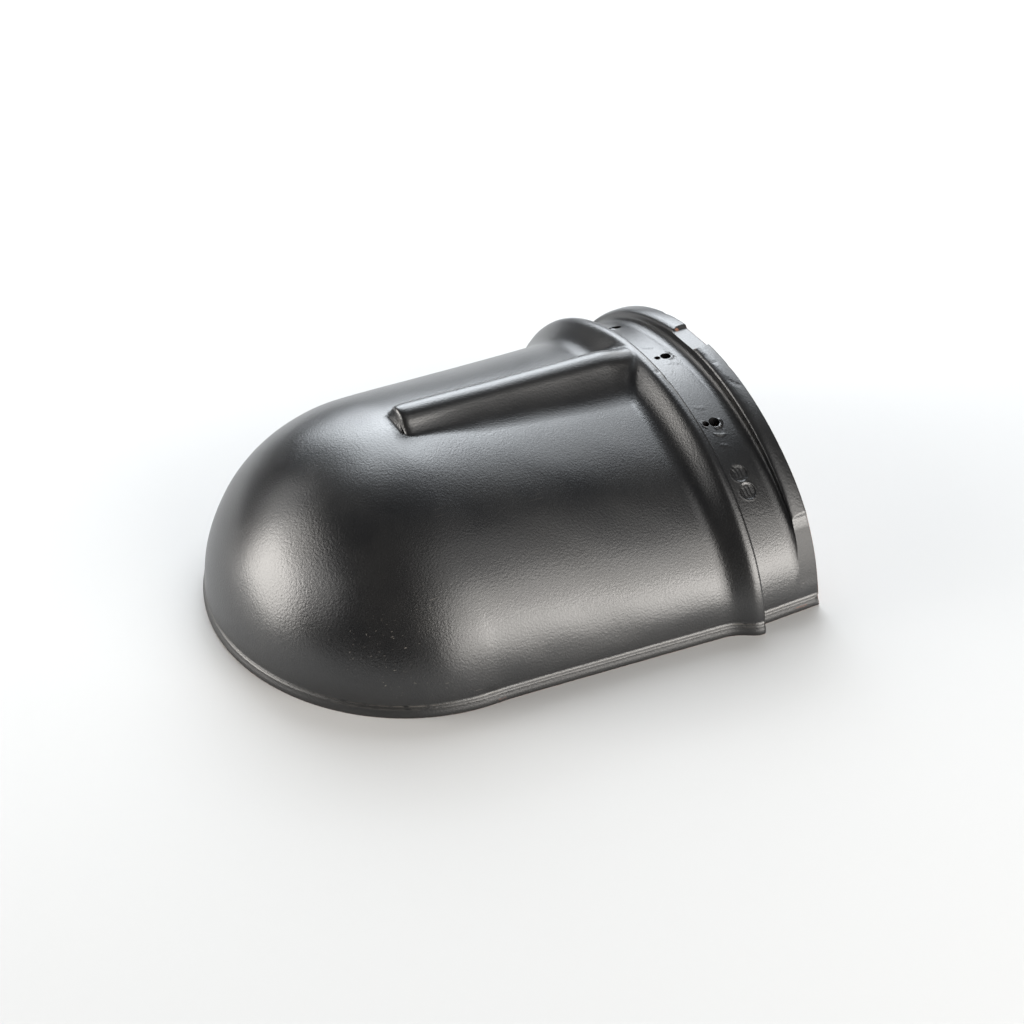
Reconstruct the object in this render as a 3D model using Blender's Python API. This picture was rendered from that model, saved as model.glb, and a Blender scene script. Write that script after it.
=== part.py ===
# Ridge end cap tile: one hollow fired clay shell with a domed end, a crown rib,
# a flared collar, a nailing neck and a rolled lip. Metres, +Z up, +X to the lip.
import math

import bmesh
import bpy

MM = 0.001

# Overall run of the tile along X, measured from the dome's centre plane
DOME_LENGTH = 105.5 * MM
BARREL_LENGTH = 152.0 * MM
NECK_LENGTH = 38.0 * MM

# Barrel cross section at the dome and at the collar
BARREL_HALF_WIDTH_FRONT = 118.0 * MM
BARREL_HALF_WIDTH_REAR = 131.8 * MM
BARREL_HEIGHT_FRONT = 102.5 * MM
BARREL_HEIGHT_REAR = 92.4 * MM
SHOULDER_EASE = 0.01

# Shell thickness
BARREL_WALL = 13.0 * MM
NECK_WALL = 12.0 * MM
NECK_CROWN_WALL = 15.0 * MM

# Foot band, spread a little below the parting line
BAND_HEIGHT = 6.5 * MM
BAND_FLARE = 1.5 * MM

# Collar that closes the barrel
FLARE_LENGTH = 16.0 * MM
COLLAR_SIDE_RISE = 6.0 * MM
COLLAR_CROWN_RISE = 14.1 * MM
COLLAR_CREST = 2.6 * MM
COLLAR_ROUND = 1.4 * MM

# Neck that the next ridge tile laps over, set out from the barrel's rear section
NECK_SIDE_DROP = 1.3 * MM
NECK_CROWN_STEP = 3.4 * MM

# Lip at the open end, set out from the neck
LIP_LENGTH = 16.0 * MM
LIP_COVE = 6.3 * MM
LIP_SIDE_RISE = 1.1 * MM
LIP_CROWN_RISE = 7.2 * MM
LIP_WALL_SHARE = 0.9
LIP_BEAD = 2.0 * MM
BEAD_FULLNESS = 0.7
BEAD_END_ANGLE = math.radians(60.0)
BEAD_END_BLEND = math.radians(1.5)

# Planed seat on the lip's crown
SEAT_WIDTH = 22.0 * MM
SEAT_DEPTH = 2.7 * MM

# Rib along the crown of the barrel, level with the collar's crest at its rear end
RIB_START = 3.0 * MM
RIB_FADE_LENGTH = 18.0 * MM
RIB_RISE_FRONT = 10.4 * MM
RIB_RISE_REAR = 15.8 * MM
RIB_RADIUS_FRONT = 9.0 * MM
RIB_RADIUS_REAR = 10.0 * MM
RIB_DRAFT = math.radians(29.0)
RIB_SKIRT = 14.0 * MM
RIB_END_BEVEL = 1.6 * MM
RIB_SINK = 0.5 * MM

# Nail holes through the neck, each with a blind starter beside it
NAIL_RADIUS = 3.25 * MM
NAIL_SETBACK_NEAR = 13.4 * MM
NAIL_SETBACK_CROWN = 17.2 * MM
NAIL_SETBACK_FAR = 17.4 * MM
NAIL_ANGLE_NEAR = math.radians(26.5)
NAIL_ANGLE_FAR = math.radians(25.4)
STARTER_RADIUS = 2.6 * MM
STARTER_PITCH = 5.0 * MM
STARTER_DEPTH = 5.0 * MM

# Mesh fineness
SIDE_STEPS = 8
TOP_STEPS = 30
DOME_STEPS = 34
BARREL_STEPS = 5
FLARE_STEPS = 7
ROUND_STEPS = 3
COVE_STEPS = 5
CREST_STEPS = 5
RIB_STEPS = 18
HOLE_SIDES = 20

# How far a cutter runs past the face it opens
CUT_OVERRUN = 8.0 * MM

NECK_HALF_WIDTH = BARREL_HALF_WIDTH_REAR - NECK_SIDE_DROP
NECK_HEIGHT = BARREL_HEIGHT_REAR + NECK_CROWN_STEP
LIP_HALF_WIDTH = NECK_HALF_WIDTH + LIP_SIDE_RISE
LIP_HEIGHT = NECK_HEIGHT + LIP_CROWN_RISE
NECK_END = BARREL_LENGTH + NECK_LENGTH
LIP_START = NECK_END - LIP_LENGTH
FLARE_START = BARREL_LENGTH - COLLAR_ROUND - COLLAR_CREST - FLARE_LENGTH
CREST_START = FLARE_START + FLARE_LENGTH

# The tile is moved so that the middle of its length lies at the origin
SHIFT = -0.5 * (NECK_END - DOME_LENGTH - BAND_FLARE)


def clear_scene():
    for obj in list(bpy.data.objects):
        bpy.data.objects.remove(obj, do_unlink=True)


def ease(theta):
    return 1.0 - SHOULDER_EASE * math.sin(2.0 * theta) ** 2


def blend(a, b, t):
    return a + (b - a) * t


def smooth(t):
    t = min(1.0, max(0.0, t))
    return t * t * (3.0 - 2.0 * t)


def barrel_size(x):
    t = x / BARREL_LENGTH
    width = blend(BARREL_HALF_WIDTH_FRONT, BARREL_HALF_WIDTH_REAR, t)
    height = blend(BARREL_HEIGHT_FRONT, BARREL_HEIGHT_REAR, t)
    return width, height


def section_angles(height):
    """Angles from the crown to both sides, ending at the top of the foot band."""
    last = math.acos(BAND_HEIGHT / height)
    inner = BEAD_END_ANGLE
    outer = BEAD_END_ANGLE + BEAD_END_BLEND
    side = [blend(outer, last, i / SIDE_STEPS) for i in range(SIDE_STEPS + 1)]
    top = [blend(-inner, inner, i / TOP_STEPS) for i in range(TOP_STEPS + 1)]
    return [-a for a in reversed(side)] + top + side


def section_points(x, width, height, bead=0.0):
    """Half oval cross section in the plane x, with the foot band at both ends."""
    points = [(x, width + BAND_FLARE, 0.0)]
    for theta in section_angles(height):
        swell = bead if abs(theta) < BEAD_END_ANGLE + 0.5 * BEAD_END_BLEND else 0.0
        y = -(width + swell) * math.sin(theta) * ease(theta)
        z = (height + swell) * math.cos(theta) * ease(theta)
        points.append((x, y, z))
    points.append((x, -width - BAND_FLARE, 0.0))
    return points


def barrel_stations():
    """Plain tapered barrel, then the flare up to the collar's crest and its rounded back."""
    rows = []
    for i in range(BARREL_STEPS):
        x = FLARE_START * i / BARREL_STEPS
        rows.append((x, 0.0, 0.0))
    for i in range(FLARE_STEPS + 1):
        t = i / FLARE_STEPS
        rows.append((FLARE_START + FLARE_LENGTH * t, smooth(t), 0.0))
    for i in range(ROUND_STEPS + 1):
        turn = 0.5 * math.pi * i / ROUND_STEPS
        x = CREST_START + COLLAR_CREST + COLLAR_ROUND * math.sin(turn)
        rows.append((x, 1.0, COLLAR_ROUND * (1.0 - math.cos(turn))))
    stations = []
    for x, share, fall in rows:
        width, height = barrel_size(x)
        width += COLLAR_SIDE_RISE * share - fall
        height += COLLAR_CROWN_RISE * share - fall
        stations.append((x, width, height, 0.0))
    return stations


def neck_stations():
    """Plain neck, the cove that climbs to the lip, and the lip's rounded crest."""
    stations = [(BARREL_LENGTH, NECK_HALF_WIDTH, NECK_HEIGHT, 0.0)]
    middle = 0.5 * (BARREL_LENGTH + LIP_START)
    stations.append((middle, NECK_HALF_WIDTH, NECK_HEIGHT, 0.0))
    for i in range(COVE_STEPS + 1):
        turn = 0.5 * math.pi * i / COVE_STEPS
        t = LIP_WALL_SHARE * (1.0 - math.cos(turn))
        width = blend(NECK_HALF_WIDTH, LIP_HALF_WIDTH, t)
        height = blend(NECK_HEIGHT, LIP_HEIGHT, t)
        stations.append((LIP_START + LIP_COVE * math.sin(turn), width, height, 0.0))
    crest_start = LIP_START + LIP_COVE
    for i in range(CREST_STEPS + 1):
        t = blend(0.5 / CREST_STEPS, 1.0, i / CREST_STEPS)
        bead = LIP_BEAD * max(0.0, math.sin(math.pi * t)) ** BEAD_FULLNESS
        x = blend(crest_start, NECK_END, t)
        stations.append((x, LIP_HALF_WIDTH, LIP_HEIGHT, bead))
    return stations


def mesh_object(name, bm, collection):
    bmesh.ops.remove_doubles(bm, verts=bm.verts, dist=0.00001)
    bmesh.ops.recalc_face_normals(bm, faces=bm.faces)
    mesh = bpy.data.meshes.new(name)
    bm.to_mesh(mesh)
    bm.free()
    obj = bpy.data.objects.new(name, mesh)
    collection.objects.link(obj)
    return obj


def add_rows(bm, rows):
    grid = [[bm.verts.new(p) for p in row] for row in rows]
    for a, b in zip(grid, grid[1:]):
        for j in range(len(a) - 1):
            bm.faces.new((a[j], b[j], b[j + 1], a[j + 1]))
    return grid


def dome_rows(length, width, height, flare, floor):
    """Half dome as meridians from one side of the barrel round the nose to the other."""
    angles = [a for a in section_angles(height) if a > -1e-9]
    rows = []
    for k in range(DOME_STEPS + 1):
        phi = math.pi * k / DOME_STEPS
        row = []
        for theta in angles:
            reach = math.sin(theta) * ease(theta)
            x = -length * math.sin(phi) * reach
            y = width * math.cos(phi) * reach
            row.append((x, y, height * math.cos(theta) * ease(theta)))
        x = -(length + flare) * math.sin(phi)
        y = (width + flare) * math.cos(phi)
        row.append((x, y, floor))
        rows.append(row)
    return rows


def outer_block(collection):
    """Solid block with the tile's outer form."""
    bm = bmesh.new()
    stations = barrel_stations() + neck_stations()
    add_rows(bm, [section_points(*station) for station in stations])
    add_rows(bm, dome_rows(DOME_LENGTH, BARREL_HALF_WIDTH_FRONT, BARREL_HEIGHT_FRONT,
                           BAND_FLARE, 0.0))
    return cap_and_link("ridge_end_cap_tile", bm, collection)


def cap_and_link(name, bm, collection):
    """Close a loft with a flat underside and a flat rear face."""
    bmesh.ops.remove_doubles(bm, verts=bm.verts, dist=0.00001)
    rear = max(v.co.x for v in bm.verts)
    open_edges = [e for e in bm.edges if e.is_boundary]
    back = [e for e in open_edges if all(abs(v.co.x - rear) < 1e-7 for v in e.verts)]
    base = [e for e in open_edges if e not in back]
    ends = [v for e in base for v in e.verts if abs(v.co.x - rear) < 1e-7]
    left = max(ends, key=lambda v: v.co.y)
    right = min(ends, key=lambda v: v.co.y)
    sill = bm.edges.new((left, right))
    bmesh.ops.contextual_create(bm, geom=back + [sill])
    bmesh.ops.contextual_create(bm, geom=base + [sill])
    return mesh_object(name, bm, collection)


def hollow_points(x, width, height):
    """Inside cross section, running straight down past the underside."""
    points = [(x, width, -CUT_OVERRUN)]
    for theta in section_angles(height):
        y = -width * math.sin(theta) * ease(theta)
        points.append((x, y, height * math.cos(theta) * ease(theta)))
    points.append((x, -width, -CUT_OVERRUN))
    return points


def hollow_size(x):
    """Inside half width and height, one wall thickness in from the outer form."""
    front_width = BARREL_HALF_WIDTH_FRONT - BARREL_WALL
    front_height = BARREL_HEIGHT_FRONT - BARREL_WALL
    rear_width = NECK_HALF_WIDTH - NECK_WALL
    rear_height = NECK_HEIGHT - NECK_CROWN_WALL
    t = x / NECK_END
    return blend(front_width, rear_width, t), blend(front_height, rear_height, t)


def hollow_cutter(collection):
    bm = bmesh.new()
    rows = []
    for x in (0.0, 0.5 * BARREL_LENGTH, BARREL_LENGTH, NECK_END + CUT_OVERRUN):
        rows.append(hollow_points(x, *hollow_size(x)))
    add_rows(bm, rows)
    width, height = hollow_size(0.0)
    add_rows(bm, dome_rows(DOME_LENGTH - BARREL_WALL, width, height, 0.0, -CUT_OVERRUN))
    return cap_and_link("hollow_cutter", bm, collection)


def take_into(obj, collection):
    for owner in list(obj.users_collection):
        owner.objects.unlink(obj)
    collection.objects.link(obj)


def rib_section(x, top, radius):
    """Round top of the given radius on two flanks that widen downwards by the draft angle."""
    reach = 0.5 * math.pi - RIB_DRAFT
    points = []
    for i in range(RIB_STEPS + 1):
        turn = blend(-reach, reach, i / RIB_STEPS)
        points.append((x, radius * math.sin(turn), top - radius * (1.0 - math.cos(turn))))
    foot_y = points[-1][1] + RIB_SKIRT * math.tan(RIB_DRAFT)
    foot_z = points[-1][2] - RIB_SKIRT
    return [(x, -foot_y, foot_z)] + points + [(x, foot_y, foot_z)]


def rib_bar(collection):
    """Rib sunk in the crown, from the dome to the collar, where it comes down to the crest."""
    rear = BARREL_LENGTH - COLLAR_ROUND
    fade = rear - RIB_FADE_LENGTH
    crest = barrel_size(rear)[1] + COLLAR_CROWN_RISE - RIB_SINK
    front_top = barrel_size(RIB_START)[1] + RIB_RISE_FRONT
    fade_top = barrel_size(fade)[1] + RIB_RISE_REAR
    sections = [
        (RIB_START, front_top - RIB_END_BEVEL, RIB_RADIUS_FRONT - RIB_END_BEVEL),
        (RIB_START + 0.35 * RIB_END_BEVEL, front_top - 0.35 * RIB_END_BEVEL,
         RIB_RADIUS_FRONT - 0.35 * RIB_END_BEVEL),
        (RIB_START + RIB_END_BEVEL, front_top, RIB_RADIUS_FRONT),
        (fade, fade_top, RIB_RADIUS_REAR),
        (blend(fade, rear, 0.5), blend(fade_top, crest, 0.5), RIB_RADIUS_REAR),
        (rear, crest, RIB_RADIUS_REAR),
    ]
    bm = bmesh.new()
    grid = add_rows(bm, [rib_section(*section) for section in sections])
    bm.faces.new(grid[0])
    bm.faces.new(list(reversed(grid[-1])))
    for a, b in zip(grid, grid[1:]):
        bm.faces.new((a[-1], b[-1], b[0], a[0]))
    return mesh_object("rib_bar", bm, collection)


def cylinder(name, radius, low, high, x, y, collection):
    bpy.ops.mesh.primitive_cylinder_add(
        vertices=HOLE_SIDES, radius=radius, depth=high - low,
        location=(x, y, 0.5 * (low + high)))
    obj = bpy.context.object
    obj.name = name
    take_into(obj, collection)
    return obj


def block(name, low, high, collection):
    bpy.ops.mesh.primitive_cube_add(size=1.0)
    obj = bpy.context.object
    obj.name = name
    take_into(obj, collection)
    for v in obj.data.vertices:
        v.co = [blend(low[i], high[i], v.co[i] + 0.5) for i in range(3)]
    return obj


def neck_surface(theta):
    y = -NECK_HALF_WIDTH * math.sin(theta) * ease(theta)
    z = NECK_HEIGHT * math.cos(theta) * ease(theta)
    return y, z


def combine(target, tool, operation):
    mod = target.modifiers.new(operation.lower() + "_" + tool.name, "BOOLEAN")
    mod.operation = operation
    mod.solver = "EXACT"
    mod.object = tool
    return mod


def clay_material():
    mat = bpy.data.materials.new("black_glazed_clay")
    mat.use_nodes = True
    shader = mat.node_tree.nodes["Principled BSDF"]
    shader.inputs["Base Color"].default_value = (0.028, 0.029, 0.032, 1.0)
    shader.inputs["Roughness"].default_value = 0.34
    shader.inputs["Metallic"].default_value = 0.0
    mat.diffuse_color = (0.09, 0.09, 0.1, 1.0)
    return mat


def build():
    clear_scene()
    scene = bpy.context.scene
    tile_set = bpy.data.collections.new("ridge_end_cap_tile")
    tools = bpy.data.collections.new("cutters")
    scene.collection.children.link(tile_set)
    scene.collection.children.link(tools)

    # Outer form with its rib
    tile = outer_block(tile_set)
    bar = rib_bar(tools)
    combine(tile, bar, "UNION")

    # Open hollow under the whole length
    hollow = hollow_cutter(tools)
    combine(tile, hollow, "DIFFERENCE")

    # Planed seat on the lip
    seat_z = LIP_HEIGHT + LIP_BEAD - SEAT_DEPTH
    seat = block("seat_cutter",
                 (LIP_START, -0.5 * SEAT_WIDTH, seat_z),
                 (NECK_END + CUT_OVERRUN, 0.5 * SEAT_WIDTH, seat_z + 2.0 * CUT_OVERRUN),
                 tools)
    combine(tile, seat, "DIFFERENCE")

    # Nail holes and their blind starters
    nails = (
        ("near", NAIL_SETBACK_NEAR, NAIL_ANGLE_NEAR),
        ("crown", NAIL_SETBACK_CROWN, 0.0),
        ("far", NAIL_SETBACK_FAR, -NAIL_ANGLE_FAR),
    )
    for name, setback, theta in nails:
        x = BARREL_LENGTH + setback
        y, z = neck_surface(theta)
        low = z - NECK_CROWN_WALL - 2.0 * CUT_OVERRUN
        bore = cylinder("nail_hole_" + name, NAIL_RADIUS, low, z + CUT_OVERRUN, x, y, tools)
        combine(tile, bore, "DIFFERENCE")
        pit = cylinder("starter_" + name, STARTER_RADIUS, z - STARTER_DEPTH,
                       z + CUT_OVERRUN, x - STARTER_PITCH, y, tools)
        combine(tile, pit, "DIFFERENCE")

    for obj in tools.objects:
        obj.hide_render = True
        obj.display_type = "WIRE"
    for obj in list(tile_set.objects) + list(tools.objects):
        obj.location.x += SHIFT
    tile.data.materials.append(clay_material())
    tile.data.set_sharp_from_angle(angle=math.radians(32.0))


build()
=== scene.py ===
# %% [markdown]
# # A black clay ridge end cap
# The last tile of a roof ridge: a hollow half barrel with a domed end, a rib along its
# crown, a flared collar, and behind the collar a lower neck with nail holes that the next
# tile laps over. It is one piece of pressed and fired clay under a satin black skin.
# Everything here is in millimetres from the dome's centre until the mesh is made.

import bpy
import numpy as np
from mathutils import Matrix, Vector


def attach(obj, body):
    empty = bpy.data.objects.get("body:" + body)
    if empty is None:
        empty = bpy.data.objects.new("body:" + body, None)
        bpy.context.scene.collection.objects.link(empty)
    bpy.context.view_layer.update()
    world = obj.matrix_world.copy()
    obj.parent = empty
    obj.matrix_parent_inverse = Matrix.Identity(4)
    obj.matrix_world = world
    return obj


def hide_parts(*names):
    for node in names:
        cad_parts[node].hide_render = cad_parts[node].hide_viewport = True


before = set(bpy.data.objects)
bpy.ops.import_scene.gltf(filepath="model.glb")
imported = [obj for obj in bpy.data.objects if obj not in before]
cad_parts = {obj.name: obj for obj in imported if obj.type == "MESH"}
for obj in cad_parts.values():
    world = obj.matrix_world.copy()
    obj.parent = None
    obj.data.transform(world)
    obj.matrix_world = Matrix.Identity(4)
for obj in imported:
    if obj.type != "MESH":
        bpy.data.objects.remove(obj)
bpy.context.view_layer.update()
MM = 0.001
TO_FRAME = np.array([-41.5, 0.0, 0.0])

# %% [markdown]
# ## Where the picture is taken from
# The tile is seen from its near side, with the domed end towards us and to the left, from
# a little over thirty degrees up. A long lens from more than a metre away keeps the barrel's
# lines almost parallel. The lens is shifted so that the aim falls a little right of and
# above the picture's middle.

# %% Camera
AZIMUTH = np.radians(-29.33)
HEIGHT_ANGLE = np.radians(33.59)
AIM = Vector((0.0765, 0.0, 0.0472))
DISTANCE = 1.18
PICTURE = 1024.0
FOCAL_LENGTH = 2086.6 / PICTURE
AIM_AT = (586.1 / PICTURE, 452.5 / PICTURE)

back = Vector((
    np.sin(AZIMUTH) * np.cos(HEIGHT_ANGLE),
    -np.cos(AZIMUTH) * np.cos(HEIGHT_ANGLE),
    np.sin(HEIGHT_ANGLE),
))
right = Vector((np.cos(AZIMUTH), np.sin(AZIMUTH), 0.0))
upward = back.cross(right)
lens = bpy.data.cameras.new("camera")
lens.sensor_width = 36.0
lens.lens = FOCAL_LENGTH * lens.sensor_width
lens.shift_x = 0.5 - AIM_AT[0]
lens.shift_y = AIM_AT[1] - 0.5
lens.clip_start = 0.05
camera = bpy.data.objects.new("camera", lens)
pose = Matrix((right, upward, back)).transposed().to_4x4()
camera.matrix_world = Matrix.Translation(AIM + back * DISTANCE) @ pose
bpy.context.scene.collection.objects.link(camera)
bpy.context.scene.camera = camera
print("camera at", tuple(round(c, 3) for c in camera.location))

# %% [markdown]
# ## Light
# A dark satin surface shows its lamps more than its own colour. So soft square panels stand
# all round the tile, in a low ring, a middle ring and a high one, and each is as strong as
# the light that the tile mirrors there: strongest low behind the dome, low to the right and
# high behind. The low ones are warm, the high ones behind are cool, and the room stays dim.

# %% Lamps, room and floor
PANEL_DISTANCE = 1.8
PANEL_POWER = 1.6
FLOOR_HALF = 6.0
WARM, WHITE, COOL = (1.0, 0.965, 0.92), (1.0, 0.985, 0.97), (0.9, 0.95, 1.0)
PANELS = [  # name, azimuth, elevation, side, share of power, tint
    ("behind_dome", 156.0, 6.0, 1.05, 24.0, WARM),
    ("behind_dome_high", 154.0, 26.0, 0.74, 4.6, WARM),
    ("left", 180.0, 26.0, 0.74, 2.0, WHITE),
    ("back_left", 132.0, 26.0, 0.74, 2.2, WHITE),
    ("back_high", 72.0, 48.0, 1.0, 14.5, COOL),
    ("back_high_right", 36.0, 48.0, 1.0, 6.5, COOL),
    ("back", 60.0, 26.0, 0.74, 7.5, COOL),
    ("back_low_left", 84.0, 26.0, 0.74, 6.2, COOL),
    ("right_low", -60.0, 5.0, 0.8, 16.0, WARM),
    ("right", -60.0, 26.0, 0.74, 4.0, WARM),
    ("front_low", -84.0, 6.0, 0.74, 7.5, WARM),
    ("front", -84.0, 26.0, 0.74, 4.6, WARM),
    ("front_high", -72.0, 48.0, 1.0, 2.4, WHITE),
    ("right_back", 36.0, 26.0, 0.74, 3.0, WHITE),
]


def soft_panel(name, azimuth, elevation, side, power, tint):
    """Square lamp seen from the tile at two angles in degrees, facing the tile."""
    a, e = np.radians(azimuth), np.radians(elevation)
    way = Vector((np.cos(a) * np.cos(e), np.sin(a) * np.cos(e), np.sin(e)))
    lamp = bpy.data.lights.new(name, "AREA")
    lamp.shape = "SQUARE"
    lamp.size = side
    lamp.energy = PANEL_POWER * power
    lamp.color = tint
    obj = bpy.data.objects.new(name, lamp)
    obj.location = Vector((0.0, 0.0, 0.05)) + way * PANEL_DISTANCE
    obj.rotation_euler = (-way).to_track_quat("-Z", "Y").to_euler()
    bpy.context.scene.collection.objects.link(obj)


for panel in PANELS:
    soft_panel(*panel)

world = bpy.data.worlds.new("room")
world.use_nodes = True
background = world.node_tree.nodes["Background"]
background.inputs["Color"].default_value = (*COOL, 1.0)
background.inputs["Strength"].default_value = 0.02
bpy.context.scene.world = world

floor_mesh = bpy.data.meshes.new("floor")
corners = [(a * FLOOR_HALF, b * FLOOR_HALF, 0.0) for a, b in [(-1, -1), (1, -1), (1, 1), (-1, 1)]]
floor_mesh.from_pydata(corners, [], [(0, 1, 2, 3)])
floor = bpy.data.objects.new("floor", floor_mesh)
floor_look = bpy.data.materials.new("pale_floor")
floor_look.use_nodes = True
floor_shader = floor_look.node_tree.nodes["Principled BSDF"]
floor_shader.inputs["Base Color"].default_value = (0.57, 0.57, 0.565, 1.0)
floor_shader.inputs["Roughness"].default_value = 0.85
floor_mesh.materials.append(floor_look)
bpy.context.scene.collection.objects.link(floor)
bpy.context.scene.view_settings.view_transform = "Standard"
print("lamps:", len(bpy.data.lights))

# %% [markdown]
# ## Sizes
# The tile was pressed in a mould, so its form is a few simple sections drawn along the
# ridge: an oval arch that widens and sinks a little towards the collar, and the same arch
# turned about its crown to make the dome. These are its sizes in millimetres.

# %% Sizes in millimetres
DOME_LENGTH = 105.5
BARREL_LENGTH = 152.0
NECK_END = 190.0
LIP_START = 174.0
LIP_COVE = 6.3
WIDTH_FRONT, WIDTH_REAR = 118.0, 131.8
HEIGHT_FRONT, HEIGHT_REAR = 102.5, 92.4
SHOULDER_EASE = 0.01
FLARE_START, CREST_START, CREST_END = 127.5, 148.0, 149.4
COLLAR_SIDE_RISE, COLLAR_CROWN_RISE, COLLAR_ROUND = 6.0, 14.1, 2.1
NECK_WIDTH, NECK_HEIGHT, NECK_ROOT = 130.5, 95.8, 1.3
LIP_WIDTH, LIP_HEIGHT, LIP_EDGE = 131.6, 103.0, 0.9
LIP_END = 60.0
SEAT_LEVEL, SEAT_HALF = 102.3, 11.0
RIB_FRONT, RIB_REAR = 2.9, 130.0
RIB_RADIUS, RIB_BEVEL = 10.2, 1.7
RIB_STAND, RIB_REAR_TOP = 9.95, 109.4
RIB_END_ROUND, RIB_END_REACH = 3.4, 6.0
RIB_SINK_START, RIB_SINK_LENGTH = 126.0, 20.0
CREST_TOP = 106.9
FOOT_TOP, FOOT_FLARE, FOOT_EDGE = 9.2, 1.1, 0.7
FOOT_LEVELS = np.array([8.5, 7.9, 7.4, 7.0, 6.6, 6.2, 5.8, 5.4, 5.0, 4.4, 3.4, 2.2, 1.2, 0.6,
                        0.25, 0.0])
SEAM_LEVEL, GROOVE_LEVEL, LINE_LEVEL = 7.1, 6.1, 5.2
ARC = 168.0

# %% [markdown]
# ## Arch and foot
# One rule draws every row: an ellipse pulled in a little at its shoulders, which stops at the
# foot and goes on straight down to the floor. The foot adds its own small outward steps. The
# spacing of the points along a row is given for its near and its far half.


# %% Arch and foot
def smooth(t):
    """Eased step: 3 t squared minus 2 t cubed, held to 0..1."""
    t = np.clip(t, 0.0, 1.0)
    return t * t * (3.0 - 2.0 * t)


def hump(t):
    """Bell of height 1 at 0: e to the power of minus t squared."""
    return np.exp(-t * t)


def rounding(t):
    """Quarter round from 1 at t = 0 to 0 at t = 1: 1 minus the root of 1 minus (1 - t) squared."""
    t = np.clip(t, 0.0, 1.0)
    return 1.0 - np.sqrt(1.0 - (1.0 - t) ** 2)


def ease(theta):
    """Pulls the arch in a little at its shoulders: 1 minus 0.01 times sin squared of 2 theta."""
    return 1.0 - SHOULDER_EASE * np.sin(2.0 * theta) ** 2


def barrel_size(x):
    """Half width and height of the barrel over t = x / length: level where it leaves the
    dome, then straight, as the root of t squared plus 0.05 squared, less 0.05, over 0.9512."""
    soft, span = 0.05, 0.9512
    t = (np.sqrt((x / BARREL_LENGTH) ** 2 + soft ** 2) - soft) / span
    width = WIDTH_FRONT + (WIDTH_REAR - WIDTH_FRONT) * t
    height = HEIGHT_FRONT + (HEIGHT_REAR - HEIGHT_FRONT) * t
    return width, height


def foot_profile(z):
    """Outward step of the foot at height z: a fine raised seam, a groove, a second line,
    then the spread of the band and its rounded bottom edge."""
    seam = 0.42 * hump((z - SEAM_LEVEL) / 0.4)
    groove = -0.5 * hump((z - GROOVE_LEVEL) / 0.42)
    line = 0.25 * hump((z - LINE_LEVEL) / 0.4)
    band = FOOT_FLARE * smooth((5.6 - z) / 3.4)
    return seam + groove + line + band - FOOT_EDGE * rounding(z / FOOT_EDGE)


def spaced(stops, steps):
    """Values from the first stop to the last, with its own step between each two stops."""
    parts = [np.linspace(a, b, max(2, int(round((b - a) / d)) + 1))[:-1]
             for a, b, d in zip(stops, stops[1:], steps)]
    return np.append(np.concatenate(parts), stops[-1])


def arch_lines(near, far):
    """Shares -1..1 of the arch from the far foot to the near foot, from two half spacings."""
    return np.concatenate([-far[:0:-1] / far[-1], near / near[-1]])


def arch_rows(x, width, height, lines):
    """Rows of an arch: y is minus the width times sine, z the height times cosine of theta,
    both eased; the feet go on down to the floor at fixed levels."""
    x, width, height = (np.asarray(a, float)[:, None] for a in (x, width, height))
    theta = lines[None, :] * np.arccos(FOOT_TOP / height)
    y = -width * np.sin(theta) * ease(theta)
    z = height * np.cos(theta) * ease(theta)
    level = FOOT_LEVELS[None, :]
    foot_theta = np.arccos(level / height)
    foot_y = width * np.sin(foot_theta) * ease(foot_theta) + foot_profile(level)
    foot_z = np.broadcast_to(level, foot_y.shape)
    rows_y = np.concatenate([foot_y[:, ::-1], y, -foot_y], axis=1)
    rows_z = np.concatenate([foot_z[:, ::-1], z, foot_z], axis=1)
    rows_x = np.broadcast_to(x, rows_y.shape)
    return np.stack([rows_x, rows_y, rows_z], axis=-1)


# %% [markdown]
# ## The rib
# The rib is a round-topped bar with slightly spreading flanks that stands on the crown and
# runs into the collar. Where it meets the barrel the clay fills the corner in a soft fillet
# that widens towards the collar. A smooth maximum of two heights gives just that.

# %% Rib
def rib_top(x):
    """Height of the rib's top line: nearly level, then eased down into the collar's crest."""
    front = barrel_size(RIB_FRONT)[1] + RIB_STAND
    level = front + (RIB_REAR_TOP - front) * (x - RIB_FRONT) / (RIB_REAR - RIB_FRONT)
    crest = CREST_TOP - 0.6 * np.clip(x - 145.0, 0.0, None)
    return level + (crest - level) * smooth((x - RIB_SINK_START) / RIB_SINK_LENGTH)


def rib_height(x, y):
    """Round top of radius r on flanks whose draft grows from 32 to 39 degrees. Towards the
    front the top is bevelled and the ends of its cross section are drawn in."""
    run = x - RIB_FRONT
    t = np.clip(run / RIB_REAR, 0.0, 1.0)
    bevel = RIB_BEVEL * rounding(run / RIB_BEVEL)
    radius = RIB_RADIUS + 1.0 * t - bevel
    draft = np.radians(32.0 + 9.0 * smooth(run / 45.0) - 2.0 * t)
    side = radius * np.cos(draft)
    y = np.abs(y) + RIB_END_ROUND * rounding(run / RIB_END_REACH)
    arc = radius - np.sqrt(np.clip(radius ** 2 - np.minimum(y, side) ** 2, 0.0, None))
    drop = np.clip(y - side, 0.0, None) / np.tan(draft)
    return rib_top(x) - bevel - arc - drop


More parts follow.
